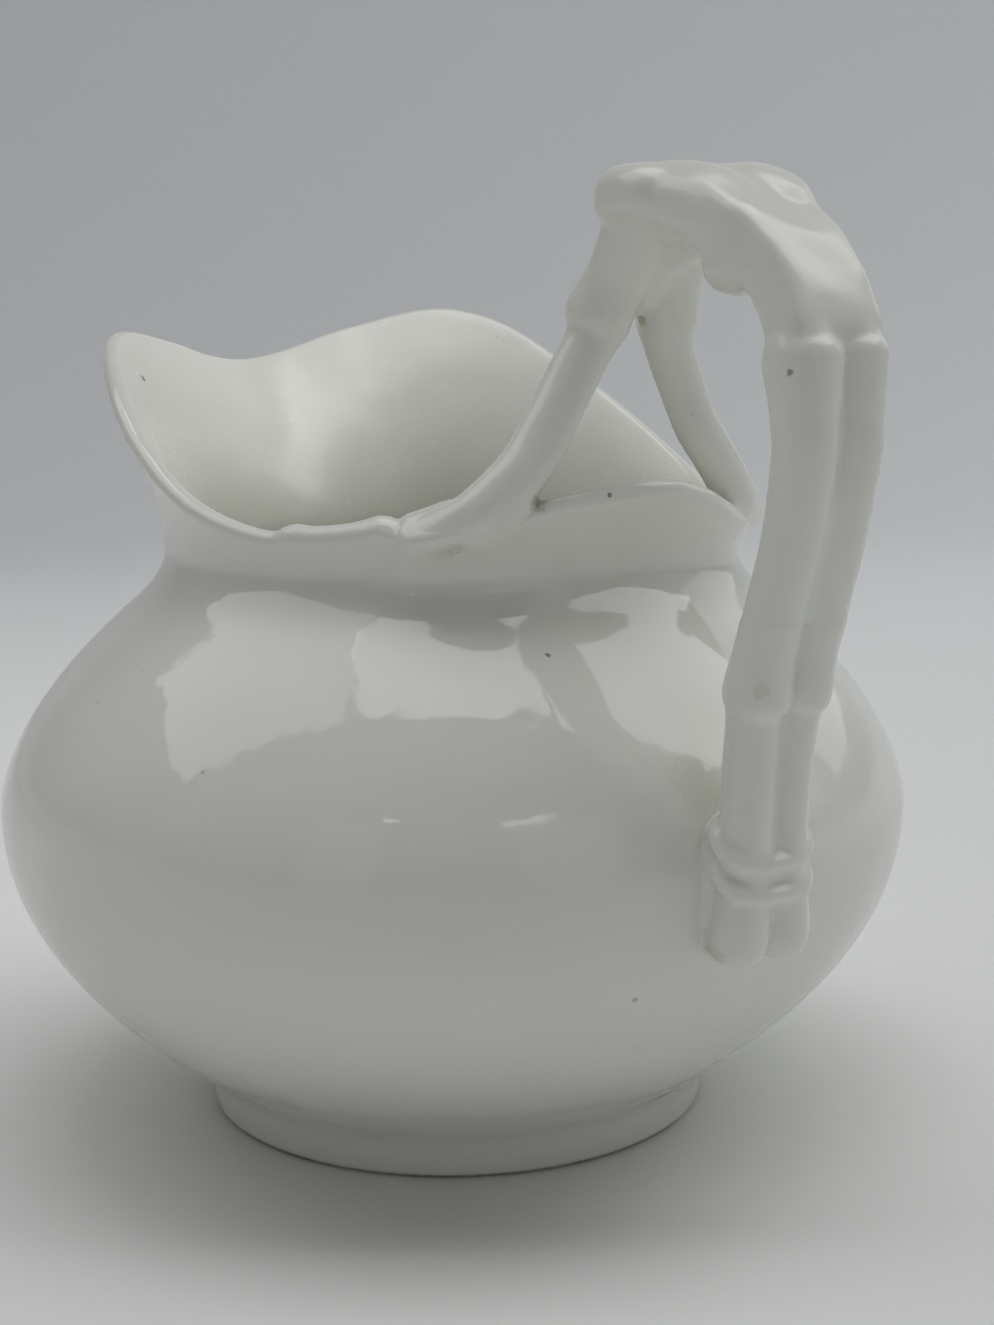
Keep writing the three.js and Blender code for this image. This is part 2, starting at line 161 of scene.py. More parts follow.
def smooth_max(a, b, width):
    """The larger of a and b, with a round fillet.

    Where they differ by less than width, (width - |a - b|)^2 / (4 width) is added.
    """
    near = np.clip(width - np.abs(a - b), 0, None)
    return np.maximum(a, b) + near**2 / (4 * width)


def belly_radius(level):
    """R - (R - end) * share^power; share is 0 at the widest level and 1 at the foot or the neck."""
    low = level < BELLY_LEVEL
    share = np.abs(level - BELLY_LEVEL) / np.where(low, BELLY_LEVEL - FOOT_TOP, NECK_LEVEL - BELLY_LEVEL)
    end = np.where(low, FOOT_TOP_RADIUS, NECK_RADIUS)
    return BELLY_RADIUS - (BELLY_RADIUS - end) * share ** np.where(low, BELLY_POWER, SHOULDER_POWER)


def hollow_radius(level):
    """Radius of the hollow: the belly's radius less the wall, measured square to the slope."""
    step = 0.01
    slope = (belly_radius(level + step) - belly_radius(level - step)) / (2 * step)
    return belly_radius(level) - BODY_WALL * np.hypot(1, slope)


def foot_radius(level):
    """The foot ring widens evenly from the table to the belly, and no further."""
    return FOOT_RADIUS + (FOOT_TOP_RADIUS - FOOT_RADIUS) * np.clip(level / FOOT_TOP, 0, 1)


print("hollow at the widest level: %.1f mm" % hollow_radius(np.array(BELLY_LEVEL)))

# %% [markdown]
# The mouth isn't round: the soft clay was drawn out into a lip with a lobe on each side. Its crest is
# given at a few angles from the lip, on one half, with small sags that the two halves don't share. The
# twigs on the rim and the roots of the canes are swellings of the same wall, because separate twigs would
# leave a hard line.

# %% Rim and mouth
FLARE_POWER = 2.0
# degrees from the lip, reach past the neck, rise above the neck, sag of the left half, sag of the right half
RIM_STATIONS = np.array([
    (0, 22.94, 26.6, 0, 0), (16, 17.9, 31.4, 1.9, 0), (30, 13.7, 34.4, 3.3, 0), (42, 10.5, 32.5, 2.1, 0),
    (58, 6.6, 25.5, 0, 0), (76, 3.7, 17.8, 0, 0), (95, 2.0, 11.1, 0.2, 0), (115, 0.9, 7.6, 0, 0.1),
    (138, 1.1, 8.5, 0, 0.8), (150, 2.6, 10.0, 0, 1.4), (160, 4.4, 11.4, 0, 1.3), (170, 5.8, 12.6, 0, 0.3),
    (180, 6.6, 13.4, 0, 0),
])
# degrees from the lip, lift of the crest and thickness added outside by the twig and the root of the cane
TWIG_STATIONS = np.array([
    (0, 0, 0), (110, 0, 0), (114.5, 0.15, 0.05), (117, 0.95, 0.35), (119, 1.25, 0.45), (122, 1.05, 0.4),
    (129, 1.15, 0.5), (132.5, 1.45, 0.7), (134.5, 1.7, 0.9), (136.5, 1.45, 1.1), (138, 1.05, 1.5),
    (139.5, 1.5, 2.5), (142, 1.8, 3.3), (146.5, 2.2, 3.6), (150, 1.9, 3.3), (154, 0.7, 2.0), (159, 0, 0.4),
    (165, 0, 0), (180, 0, 0),
])
ROOT_DEPTH = 5.0  # how far below the crest the added thickness reaches
RIGHT_ROOT = 0.3  # the right root melts into the rim less than the left one


def hermite(knots, values, at):
    """Smooth curve through values at knots.

    The slope at a knot is that of the line between its two neighbours, and zero at both ends; between two
    knots runs the cubic with those slopes.
    """
    knots, values, at = (np.asarray(x, float) for x in (knots, values, at))
    flat = values.reshape(len(knots), -1)
    slopes = np.zeros_like(flat)
    slopes[1:-1] = (flat[2:] - flat[:-2]) / (knots[2:] - knots[:-2])[:, None]
    n = np.clip(np.searchsorted(knots, at, side="right") - 1, 0, len(knots) - 2)
    span = (knots[n + 1] - knots[n])[:, None]
    t = (at - knots[n])[:, None] / span
    run = flat[n] * (1 + 2 * t) * (1 - t) ** 2 + flat[n + 1] * t * t * (3 - 2 * t)
    run += span * (slopes[n] * t * (1 - t) ** 2 - slopes[n + 1] * t * t * (1 - t))
    return run.reshape(at.shape + values.shape[1:])


def rim_crest(around):
    """Reach and level of the rim's crest at angles round the axis.

    The lip is at 180 degrees, and the left half is where the sine is negative.
    """
    turn = np.abs(180 - np.degrees(around) % 360)
    flare, rise, left_sag, right_sag = hermite(RIM_STATIONS[:, 0], RIM_STATIONS[:, 1:], turn).T
    return NECK_RADIUS + flare, NECK_LEVEL + rise - np.where(np.sin(around) < 0, left_sag, right_sag)


def rim_growth(around):
    """Lift and added thickness of the rim at angles round the axis, for the twig and the cane's root."""
    turn = np.abs(180 - np.degrees(around) % 360)
    growth = hermite(TWIG_STATIONS[:, 0], TWIG_STATIONS[:, 1:], turn).T
    return growth * np.where(np.sin(around) < 0, 1, RIGHT_ROOT)


def mouth_wall(around, share, out, up, inset=0.0):
    """Radius and level of points of the mouth's wall, as arrays of rows (share) by columns (around).

    The middle of the wall follows r = foot + across * share^2 from the neck to the crest; out and up step
    half the wall's thickness away from it, square to it and along it. The twig and the roots swell the
    outside by growth * exp(-(depth below the crest / ROOT_DEPTH)^2). The inset makes the wall thinner.
    """
    reach, level = rim_crest(around)
    lift, growth = rim_growth(around)
    foot = NECK_RADIUS - BODY_WALL / 2
    across, height = reach - foot, level + lift - NECK_LEVEL
    share, out, up = (np.asarray(x, float)[:, None] for x in (share, out, up))
    lean = FLARE_POWER * across * share ** (FLARE_POWER - 1)
    length = np.hypot(lean, height)
    half = (BODY_WALL + (RIM_WALL - BODY_WALL) * share) / 2 - inset
    swell = growth * np.exp(-(((1 - share) * height / ROOT_DEPTH) ** 2)) * np.clip(out, 0, 1)
    steep = np.hypot(FLARE_POWER * across, height)
    tuck = RIM_WALL / 2 * share
    radius = foot + across * share**FLARE_POWER - tuck * FLARE_POWER * across / steep
    rise = NECK_LEVEL + height * share - tuck * height / steep
    out, up = out * (half + swell), up * half
    return radius + (out * height + up * lean) / length, rise + (up * height - out * lean) / length


crest_levels = rim_crest(np.radians(np.arange(360)))[1]
print("rim from %.1f to %.1f mm high" % (crest_levels.min(), crest_levels.max()))

# %% [markdown]
# The body is one column of rings. It starts at the middle of the floor, climbs the hollow and the inside
# of the mouth, turns over the round edge, comes down outside to the foot, and ends at the middle of the
# underside. This first half is the inside: a flat floor that bends into the wall, the hollow, and the
# mouth.

# %% Inside of the body
COLUMNS = [(0, 25, 16), (25, 72, 110), (72, 288, 160), (288, 335, 110), (335, 360, 16)]  # dense at the twigs
FLOOR_BEND, FLOOR_BEND_WIDTH, FLOOR_PULL = 7.0, 15.0, 12.0
around = np.radians(np.concatenate([np.linspace(*zone, endpoint=False) for zone in COLUMNS]))
shares = np.linspace(0, 1, 30)
still = np.zeros_like(shares)

bend = np.linspace(0, 1, 12)  # from the flat floor into the wall: a cubic with the slopes of both
wall_foot = FLOOR_LEVEL + FLOOR_BEND
wall_radius = hollow_radius(np.array(wall_foot))
wall_slope = float(hollow_radius(np.array(wall_foot + 0.5)) - hollow_radius(np.array(wall_foot - 0.5)))
floor_edge = wall_radius - FLOOR_BEND_WIDTH
floor_radius = floor_edge + (wall_radius - floor_edge) * bend**2 * (3 - 2 * bend)
floor_radius += FLOOR_PULL * bend * (1 - bend) ** 2 - FLOOR_PULL * wall_slope * bend**2 * (1 - bend)
floor_level = FLOOR_LEVEL + FLOOR_BEND * bend**2 * (3 - 2 * bend) - FLOOR_PULL * bend**2 * (1 - bend)

hollow_levels = np.linspace(wall_foot, NECK_LEVEL, 32)[1:-1]
neck_inside = np.where(hollow_levels > BELLY_LEVEL, NECK_RADIUS - BODY_WALL, 0)
hollow = smooth_max(hollow_radius(hollow_levels), neck_inside, HOLLOW_FILLET)

inside_radius, inside_level = mouth_wall(around, shares, still - 1, still)
inside_radius = smooth_max(inside_radius, hollow_radius(inside_level), HOLLOW_FILLET)
print("inside: floor at %.1f mm, %d columns" % (FLOOR_LEVEL, around.size))

# %% [markdown]
# The second half is what a hand touches: the round edge of the rim, the outside of the mouth, the
# shoulder, the belly and the foot. The glaze stops just above the table, where the potter wiped it off.
# Inside the foot ring the underside rises a little to its middle, so that the jug stands on the ring
# alone.

# %% Outside of the body
GLAZE_LINE = 0.7  # the glaze ends this far above the table
UNDERSIDE = FOOT_TOP + SEAM / 2
UNDERSIDE_RISE = 0.6
FOOT_BEND = 4.0  # the belly turns into the foot within this height
edge = np.radians(np.linspace(0, 180, 11)[1:-1])
edge_radius, edge_level = mouth_wall(around, np.ones(edge.size), -np.cos(edge), np.sin(edge))
outside_radius, outside_level = mouth_wall(around, shares[::-1], still + 1, still)
outside_radius = smooth_max(outside_radius, belly_radius(outside_level), NECK_FILLET)

skin_levels = np.concatenate([
    np.linspace(NECK_LEVEL, BELLY_LEVEL, 30)[1:],
    np.linspace(BELLY_LEVEL, FOOT_TOP + FOOT_BEND, 22)[1:],
    np.linspace(FOOT_TOP + FOOT_BEND, GLAZE_LINE, 18)[1:],
])
skin_radius = smooth_max(belly_radius(skin_levels), foot_radius(skin_levels), FOOT_FILLET)
skin_radius = smooth_max(skin_radius, np.where(skin_levels > BELLY_LEVEL, NECK_RADIUS, 0), NECK_FILLET)

foot_inside = FOOT_RADIUS - FOOT_WIDTH
under = np.array([  # radius and level, from the glaze's edge under the foot to the underside
    (FOOT_RADIUS - 0.1, GLAZE_LINE - 0.2), (FOOT_RADIUS - 0.4, GLAZE_LINE - 0.25),
    (foot_inside + 0.4, GLAZE_LINE - 0.25), (foot_inside + 0.1, GLAZE_LINE - 0.2), (foot_inside, GLAZE_LINE),
    (foot_inside, UNDERSIDE - 1.4), (foot_inside - 0.4, UNDERSIDE - 0.4), (foot_inside - 1.5, UNDERSIDE),
    (foot_inside * 0.6, UNDERSIDE + 0.4), (foot_inside * 0.25, UNDERSIDE + UNDERSIDE_RISE),
])
print("outside: underside at %.1f mm" % UNDERSIDE)

# %% [markdown]
# Now the rows are put in order. Rows that are round get one radius for all columns; the rows of the mouth
# have their own at every column. The number of rows inside is kept, because the glaze is thicker and
# duller there, and its white is painted paler, as painted light.


# %% Body
def round_points(radius, level, around):
    """Points at a radius and level round the jug's axis."""
    level = np.broadcast_to(level, radius.shape)
    return np.stack([AXIS_X + radius * np.cos(around), radius * np.sin(around), level], axis=-1)


def full_rings(radius, level):
    """Rows of one radius and level become whole rings."""
    radius = np.repeat(np.asarray(radius)[:, None], around.size, axis=1)
    return round_points(radius, np.asarray(level)[:, None], around)


body_rings = np.concatenate([
    full_rings(floor_edge * np.array([0.3, 0.7]), [FLOOR_LEVEL, FLOOR_LEVEL]),
    full_rings(floor_radius, floor_level),
    full_rings(hollow, hollow_levels),
    round_points(inside_radius, inside_level, around),
    round_points(edge_radius, edge_level, around),
    round_points(outside_radius, outside_level, around),
    full_rings(skin_radius, skin_levels),
    full_rings(under[:, 0], under[:, 1]),
])
inside_rows = 2 + len(floor_level) + len(hollow_levels) + len(shares)
body_ends = np.array([(AXIS_X, 0, FLOOR_LEVEL), (AXIS_X, 0, UNDERSIDE + UNDERSIDE_RISE)])
jug_body = mesh_piece("jug_body", ring_skin(body_rings, body_ends))
print("body:", len(jug_body.data.vertices), "points")

# %% [markdown]
# The standing ring is a hoop: a rounded flat section carried round the axis. It stands back a little
# under the glaze, which gives the dark line above the table. It is a piece of its own because its clay is
# bare.

# %% Standing ring
RING_SIDES = 160
RING_STEP_BACK = 0.35
RING_HALF_HEIGHT = 0.45


def rounded(wave, power):
    """A wave made squarer: its sign times its size to a power below 1."""
    return np.sign(wave) * np.abs(wave) ** power


ring_turn = np.linspace(0, 2 * np.pi, 24, endpoint=False)
ring_middle, ring_half = FOOT_RADIUS - FOOT_WIDTH / 2, FOOT_WIDTH / 2 - RING_STEP_BACK
ring_radius = ring_middle + ring_half * rounded(np.cos(ring_turn), 0.5)
ring_level = RING_HALF_HEIGHT + RING_HALF_HEIGHT * rounded(np.sin(ring_turn), 0.6)
hoop = np.linspace(0, 2 * np.pi, RING_SIDES, endpoint=False)[:, None]
hoop_points = round_points(np.repeat(ring_radius[None, :], RING_SIDES, axis=0), ring_level[None, :], hoop)
standing_ring = mesh_piece("standing_ring", ring_skin(hoop_points))
print("standing ring:", len(standing_ring.data.vertices), "points")

# %% [markdown]
# The handle was pressed as rods of clay that imitate canes, stuck together with slip while they were
# soft. Each cane is a round section carried along a smooth path, with a radius that swells at the joints,
# and the knuckles are rounded lumps. Joining them with booleans would leave sharp lines. Here a voxel
# remesh melts all of them into one skin, and a little smoothing gives the soft fillets that slip and
# glaze leave.


# %% Tubes and lumps
def tube(stations, steps, sides=28, widen=0.0, square=1.0):
    """A round section along a smooth path: stations are rows of x, y, z and radius.

    The path is a curve through the stations over the square root of their spacing, which keeps it from
    swinging out at short spans. The section stands square to the path: across = a fixed side direction x
    path direction. It can be widened sideways, and made blocky by raising its sines and cosines to the
    power square.
    """
    stations = np.asarray(stations, float)
    hops = np.linalg.norm(np.diff(stations[:, :3], axis=0), axis=1)
    knots = np.concatenate([[0], np.cumsum(np.sqrt(hops))])
    padded = np.vstack([2 * stations[0] - stations[1], stations, 2 * stations[-1] - stations[-2]])
    padded_knots = np.concatenate([[-knots[1]], knots, [2 * knots[-1] - knots[-2]]])
    run = hermite(padded_knots, padded, np.linspace(0, knots[-1], steps))
    centre, radius = run[:, :3], run[:, 3]
    along = np.gradient(centre, axis=0)
    along /= np.linalg.norm(along, axis=1, keepdims=True)
    across = np.cross(np.array([0.0, 1.0, 0.0]), along)
    across /= np.linalg.norm(across, axis=1, keepdims=True)
    aside = np.cross(along, across)
    turn = np.linspace(0, 2 * np.pi, sides, endpoint=False)[None, :, None]
    ends = np.vstack([centre[0] - along[0] * radius[0] * 0.4, centre[-1] + along[-1] * radius[-1] * 0.4])
    radius = radius[:, None, None]
    section = radius * rounded(np.cos(turn), square) * across[:, None]
    section = section + (radius + widen) * rounded(np.sin(turn), square) * aside[:, None]
    return ring_skin(centre[:, None] + section, ends)


def lump(centre, radii, tilt=0.0, square=1.0):
    """A rounded lump with three radii, turned about Y by tilt degrees.

    The rings of an ellipsoid, whose sines and cosines are raised to the power square: 1 leaves it round, and
    less makes it blocky.
    """
    rise = np.radians(np.linspace(-90, 90, 24)[1:-1])[:, None]
    turn = np.linspace(0, 2 * np.pi, 36, endpoint=False)
    ball = np.stack([
        rounded(np.cos(rise), square) * rounded(np.cos(turn), square),
        rounded(np.cos(rise), square) * rounded(np.sin(turn), square),
        rounded(np.sin(rise), square) * np.ones_like(turn),
    ], axis=-1)
    poles = np.array([(0, 0, -1.0), (0, 0, 1.0)])
    c, s = np.cos(np.radians(tilt)), np.sin(np.radians(tilt))
    lean = np.array([(c, 0, s), (0, 1, 0), (-s, 0, c)])
    place = np.array(centre) + np.array([AXIS_X, 0, 0])
    return ring_skin((ball * radii) @ lean.T + place, (poles * radii) @ lean.T + place)


# %% [markdown]
# The two canes mirror each other from the knots of the fork downwards. Their roots differ, because a hand
# set each of them on the rim: the left one melts into the rim over a long stretch, the right one lifts
# sooner and is thinner. A thinner rod between the canes stands for the slip that filled the groove.

# %% Canes
LOWER_CANE = 3.0


def from_axis(stations, side):
    """Stations given from the jug's axis, for the left (-1) or the right (1) cane."""
    moved = np.array(stations, float)
    moved[:, 1] *= side
    moved[:, 0] += AXIS_X
    return moved


def on_rim(turn, side, lift, radius, inset=0.0):
    """A station by the rim's crest, at degrees from the lip, from the jug's axis with the side left open."""
    reach, level = rim_crest(np.radians(np.array([180 - side * turn])))
    reach = reach[0] - inset
    return (-reach * np.cos(np.radians(turn)), reach * np.sin(np.radians(turn)), level[0] + lift, radius)


def root_stations(side):
    """Where a cane leaves the rim and climbs to its knot, as x, y, z, radius from the jug's axis."""
    if side < 0:
        return [
            on_rim(139, side, -1.2, 1.0, 0.8), on_rim(142, side, -0.9, 2.0, 0.4),
            on_rim(146, side, -0.7, 2.6, -0.4),
            (36.5, 19.5, 82.7, 3.2), (37.8, 15.1, 86.8, 3.15), (38.1, 11.5, 91.8, 3.1),
            (38.1, 8.1, 97.4, 3.05), (38.6, 5.8, 101.4, 3.1),
        ]
    return [
        on_rim(129, side, -0.6, 1.8, 0), on_rim(134, side, -0.1, 2.6, -0.2), on_rim(141, side, 0.9, 2.9, 0),
        (34.4, 19.6, 82.9, 2.95), (36.4, 15.2, 86.8, 2.75), (37.6, 10.6, 91.8, 2.75),
        (37.9, 7.6, 97.4, 2.8), (38.6, 5.6, 101.4, 3.0),
    ]


def cane_stations(side):
    """One cane: root, knot and crown, upper joint, back, lower joint, and its end on the belly."""
    return root_stations(side) + [
        (38.9, 5.1, 103.2, 3.7), (39.2, 4.9, 104.6, 3.9), (40.0, 4.5, 106.4, 3.8), (41.8, 3.9, 109.6, 3.8),
        (44.4, 3.7, 112.8, 3.95), (47.4, 3.7, 115.7, 4.4), (51.4, 3.3, 116.3, 4.4), (56.8, 3.0, 114.9, 4.5),
        (61.4, 3.0, 112.4, 4.0), (64.3, 3.0, 110.8, 3.5), (66.7, 3.05, 108.7, 3.2), (69.3, 3.1, 105.0, 3.1),
        (70.3, 3.15, 102.4, 3.2),
        (70.5, 3.2, 100.9, 3.8), (70.75, 3.2, 99.7, 4.2), (70.9, 3.2, 98.2, 4.1), (71.2, 3.2, 96.0, 3.85),
        (71.3, 3.2, 93.2, 3.55), (71.4, 3.2, 90.3, 3.4), (69.8, 3.15, 82.0, 3.35), (67.4, 3.1, 74.5, 3.4),
        (65.4, 3.0, 68.4, 3.45),
        (64.4, 2.95, 64.9, 3.8), (64.0, 2.9, 63.3, 3.75), (63.7, 2.8, 62.1, 3.2),
        (63.0, 2.7, 57.0, LOWER_CANE), (62.4, 2.6, 50.4, LOWER_CANE), (62.0, 2.6, 43.6, LOWER_CANE),
        (61.9, 2.75, 39.7, 3.25), (61.6, 3.0, 36.4, 3.45), (61.2, 3.1, 34.2, 3.0),
    ]


groove_stations = [
    (39.2, 0, 104.6, 1.2), (39.9, 0, 106.2, 2.2), (42.0, 0, 109.5, 3.2), (46.5, 0, 112.8, 3.7),
    (52.0, 0, 114.2, 4.0), (57.0, 0, 114.4, 4.2), (61.5, 0, 112.2, 4.0), (66.4, 0, 108.6, 3.2),
    (69.2, 0, 105.0, 3.0), (70.4, 0, 101.6, 2.9), (70.9, 0, 99.0, 2.7), (71.2, 0, 96.2, 2.3),
    (71.4, 0, 90.3, 2.0), (69.8, 0, 82.0, 1.95), (67.4, 0, 74.5, 1.95), (65.3, 0, 68.0, 2.1),
    (64.1, 0, 63.5, 2.2), (63.0, 0, 57.0, 2.0), (62.4, 0, 50.4, 2.0), (62.0, 0, 43.6, 2.3),
    (61.8, 0, 38.6, 1.8),
]
handle_skins = [tube(from_axis(groove_stations, 1), 240)]
for side in (-1, 1):
    handle_skins.append(tube(from_axis(cane_stations(side), side), 420))
print("canes and groove:", len(handle_skins), "tubes")

# %% [markdown]
# The crown isn't a clean bend. A blunt knuckle stands out on the left where the cane turns, another on
# the right further back, and a belly of clay hangs under the bend. From the knuckles to the joint the two
# canes share one flat top, as if a tool had been drawn over them, with an edge along each side.

# %% Knuckles and flat top of the crown
flat_top = [
    (53.0, 0, 114.6, 3.0), (57.0, 0, 114.9, 3.7), (61.5, 0, 112.5, 3.8), (64.3, 0, 110.9, 3.5),
    (66.7, 0, 108.8, 3.25), (69.3, 0, 105.1, 3.15), (70.3, 0, 102.5, 3.1), (70.7, 0, 100.6, 2.6),
]
handle_skins += [
    lump((46.8, -5.1, 117.1), (6.1, 4.3, 3.6), square=0.85),
    lump((57.3, 3.7, 116.1), (6.8, 4.0, 3.9), tilt=20, square=0.9),
    lump((62.2, -3.0, 110.1), (5.6, 3.9, 4.1), square=0.85),
    lump((65.3, -3.0, 109.1), (3.2, 3.8, 3.6), square=0.9),
    lump((61.4, 3.0, 110.8), (4.6, 4.0, 4.2)),
    tube(from_axis(flat_top, 1), 80, 40, widen=3.0, square=0.32),
]
print("with the crown:", len(handle_skins), "skins")

# %% [markdown]
# Two bands bind the lower canes and slope down away from the belly. They are flat cords: a ring with an
# oval section, its halves pulled apart by the two canes. A thinner sleeve between them keeps the groove
# shallow. A thin pad of clay under them sticks the handle's end to the belly, and follows the belly's own
# curve.

# %% Bands and seat
BAND_HALF_THICKNESS, BAND_HALF_HEIGHT, BAND_PROUD = 1.2, 1.15, 1.4
SLEEVE_PROUD, SLEEVE_HALF_HEIGHT = 0.3, 1.6
BAND_SLOPE = np.radians(41)
BAND_LEVELS = (BELLY_LEVEL + 5.1, BELLY_LEVEL + 1.5)
BAND_MIDDLE = BELLY_RADIUS + 2
PAIR = 2.35  # how far each half of a band is pulled aside
SEAT_LEVEL, SEAT_HALF_WIDTH, SEAT_HALF_HEIGHT = 41.0, 6.6, 9.0
# share of the seat's size and rise over the belly, from its hidden underside over its edge to its middle
SEAT_PROFILE = np.array([
    (0.9, -1.2), (1, -0.6), (1, 0.3), (0.97, 0.7), (0.9, 0.95), (0.6, 1.05), (0.3, 1.05),
])


def band(level, proud=BAND_PROUD, half_height=BAND_HALF_HEIGHT):
    """An oval cord round both canes: r = ring + a cos t, y pulled apart by PAIR tanh(3 sin angle), sloped."""
    ring = LOWER_CANE + proud - BAND_HALF_THICKNESS
    angle = np.linspace(0, 2 * np.pi, 96, endpoint=False)[:, None]
    turn = np.linspace(0, 2 * np.pi, 20, endpoint=False)[None, :]
    reach = ring + BAND_HALF_THICKNESS * rounded(np.cos(turn), 0.7)
    x = reach * np.cos(angle)
    y = reach * np.sin(angle) + PAIR * np.tanh(3 * np.sin(angle))
    z = half_height * rounded(np.sin(turn), 0.8) * np.ones_like(angle)
    c, s = np.cos(BAND_SLOPE), np.sin(BAND_SLOPE)
    return ring_skin(np.stack([AXIS_X + BAND_MIDDLE + x * c + z * s, y, level + z * c - x * s], axis=-1))


def seat():
    """A pad on the belly: rings of a blocky oval, each at its own share of the size and its own rise."""
    size, rise = SEAT_PROFILE.T
    turn = np.linspace(0, 2 * np.pi, 64, endpoint=False)[None, :]
    y = SEAT_HALF_WIDTH * size[:, None] * rounded(np.cos(turn), 0.75)
    level = SEAT_LEVEL + SEAT_HALF_HEIGHT * size[:, None] * rounded(np.sin(turn), 0.75)
    radius = belly_radius(level) + rise[:, None]
    rings = np.stack([AXIS_X + np.sqrt(radius**2 - y**2), y, level], axis=-1)
    return ring_skin(rings, rings[[0, -1]].mean(axis=1))


handle_skins += [band(level) for level in BAND_LEVELS]
handle_skins.append(band(sum(BAND_LEVELS) / 2, SLEEVE_PROUD, SLEEVE_HALF_HEIGHT))
handle_skins += [seat(), lump((61.6, 0, 43.6), (3.0, 5.2, 6.2), square=0.6)]
print("with bands and seat:", len(handle_skins), "skins")

# %% [markdown]
# Where the handle meets the body, the real jug shows no line: slip was wiped into the corner. So slices
# of the rim and the belly melt into the handle too. They lie just under the body's own skin and stay
# hidden, but the melting makes a fillet between them and the canes. Only round the left root the slice
# stands a little proud, because the cane lies along the rim there and its fillet is what shows.

# %% Slices of the rim and the belly
SLICE_INSET = 0.12
ROOT_PROUD = 0.45
ROOT_START, ROOT_RAMP, ROOT_END, ROOT_FADE = 139.5, 3, 161, 6  # degrees from the lip
ROOT_FOOT, ROOT_CLIMB = 0.55, 0.3  # shares of the mouth's height
BELLY_SLICE_INSET, BELLY_SLICE_DEPTH = 0.25, 1.6


def rim_slice(first, last, proud=0.0):
    """A slice of the mouth's wall between two angles, closed at both ends.

    It lies SLICE_INSET under the wall's own skin. Round a root the inset shrinks by proud, on the outside and
    near the crest, with ramps from zero on all sides.
    """
    turns = np.radians(np.linspace(first, last, 90))
    rows = np.linspace(0.45, 1, 12)
    edge_turn = np.radians(np.linspace(0, 180, 9)[1:-1])
    share = np.concatenate([rows, np.ones(edge_turn.size), rows[::-1]])
    out = np.concatenate([-np.ones(rows.size), -np.cos(edge_turn), np.ones(rows.size)])
    up = np.concatenate([np.zeros(rows.size), np.sin(edge_turn), np.zeros(rows.size)])
    from_lip = 180 - np.abs(np.degrees(turns))
    by_root = np.clip((from_lip - ROOT_START) / ROOT_RAMP, 0, 1)
    by_root = by_root * np.clip((ROOT_END - from_lip) / ROOT_FADE, 0, 1)
    outside = np.clip((share - ROOT_FOOT) / ROOT_CLIMB, 0, 1) * (out + 1) / 2
    inset = SLICE_INSET - proud * outside[:, None] * by_root
    radius, level = mouth_wall(turns, share, out, up, inset)
    rings = np.swapaxes(round_points(radius, level, turns), 0, 1)
    return ring_skin(rings, rings[[0, -1]].mean(axis=1))


def belly_slice():
    """A slice of the belly's wall under the seat: rings between two depths."""
    levels = np.linspace(28, 54, 30)
    turns = np.radians(np.linspace(-10, 10, 24))
    outer = belly_radius(levels)[:, None] - BELLY_SLICE_INSET
    inner = outer - BELLY_SLICE_DEPTH
    skin = round_points(np.repeat(outer, turns.size, axis=1), levels[:, None], turns)
    back = round_points(np.repeat(inner, turns.size, axis=1), levels[:, None], turns)[:, ::-1]
    rings = np.concatenate([skin, back], axis=1)
    return ring_skin(rings, rings[[0, -1]].mean(axis=1))


handle_skins += [rim_slice(15, 66), rim_slice(-66, -15, ROOT_PROUD), belly_slice()]
print("to melt:", len(handle_skins), "skins")

# %% [markdown]
# The remesh fills the outline of all skins with small cubes and draws one new skin round them. The size of
# a cube sets the detail: the handle has to stay under 200,000 triangles, and the narrow groove between the
# bands has to survive.

# %% Melt the handle into one skin
VOXEL = 0.35


def join_skins(skins):
    """Several skins as one list of points and faces; corner numbers move up by the points before them."""
    starts = np.cumsum([0] + [len(points) for points, _ in skins])
    faces = [[start + n for n in face] for start, (_, part) in zip(starts, skins) for face in part]
    return np.vstack([points for points, _ in skins]), faces


raw = mesh_piece("raw_handle", join_skins(handle_skins))
melt = raw.modifiers.new("melt", "REMESH")
melt.mode = "VOXEL"
melt.voxel_size = VOXEL * MM
melted = bpy.data.meshes.new_from_object(raw.evaluated_get(bpy.context.evaluated_depsgraph_get()))
bpy.data.objects.remove(raw)
melted.name = "cane_handle"
cane_handle = bpy.data.objects.new("cane_handle", melted)
bpy.context.scene.collection.objects.link(cane_handle)
print("melted:", len(melted.vertices), "points")

# %% [markdown]
# The remesh leaves small steps, and clay has none. Moving every point part of the way to the middle of
# its neighbours, a few times over, wears the steps away and rounds the creases. The crown gets more
# rounds, and the roots on the rim the most, because slip was wiped into them.

# %% Soften
EVEN_ROUNDS, CROWN_ROUNDS, ROOT_ROUNDS = 5, 14, 60
ROOT_TOP, CROWN_FOOT = 88, 104  # levels below and above which the extra rounds work
ROOT_BLEND, CROWN_BLEND = 5, 4


def mesh_arrays(mesh):
    """Points in millimetres, normals and edges of a mesh, as arrays."""
    points, normals = np.empty(len(mesh.vertices) * 3), np.empty(len(mesh.vertices) * 3)
    edges = np.empty(len(mesh.edges) * 2, int)
    mesh.vertices.foreach_get("co", points)
    mesh.vertices.foreach_get("normal", normals)
    mesh.edges.foreach_get("vertices", edges)
    return points.reshape(-1, 3) / MM, normals.reshape(-1, 3), edges.reshape(-1, 2)


def move_points(mesh, points):
    """Puts points in millimetres into a mesh."""
    mesh.vertices.foreach_set("co", (points * MM).ravel())
    mesh.update()


